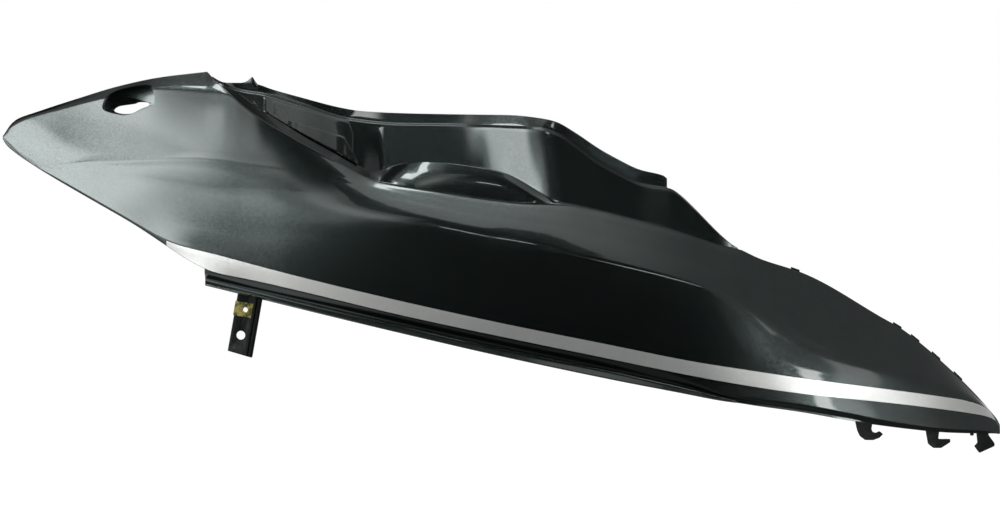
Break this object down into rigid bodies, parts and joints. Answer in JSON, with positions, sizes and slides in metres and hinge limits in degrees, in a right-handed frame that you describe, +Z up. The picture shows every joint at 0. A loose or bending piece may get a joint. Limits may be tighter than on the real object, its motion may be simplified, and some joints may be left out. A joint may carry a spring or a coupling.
{
  "type": "scooter side panel",
  "caption": "Long glossy scooter side cover that sweeps back and down from a pointed front, with a scooped seat edge, silver stripe, hanging mounting leg and snap hooks.",
  "frame": {"origin": "centre of the large hole in the hanging mounting leg, in the middle of the leg's plate", "axes": "+X from the pointed front towards the tail, +Z up as fitted, and the painted outside faces -Y"},
  "size_m": [0.9165, 0.0994, 0.35],
  "materials": {
    "paint": "glossy dark anthracite metallic paint with fine flake",
    "silver_film": "silver metallic vinyl film",
    "yellow_zinc": "yellow passivated zinc"
  },
  "bodies": {
    "root": {"side_panel": "paint", "stripe": "silver_film", "clip_nut": "yellow_zinc"}
  },
  "joints": []
}
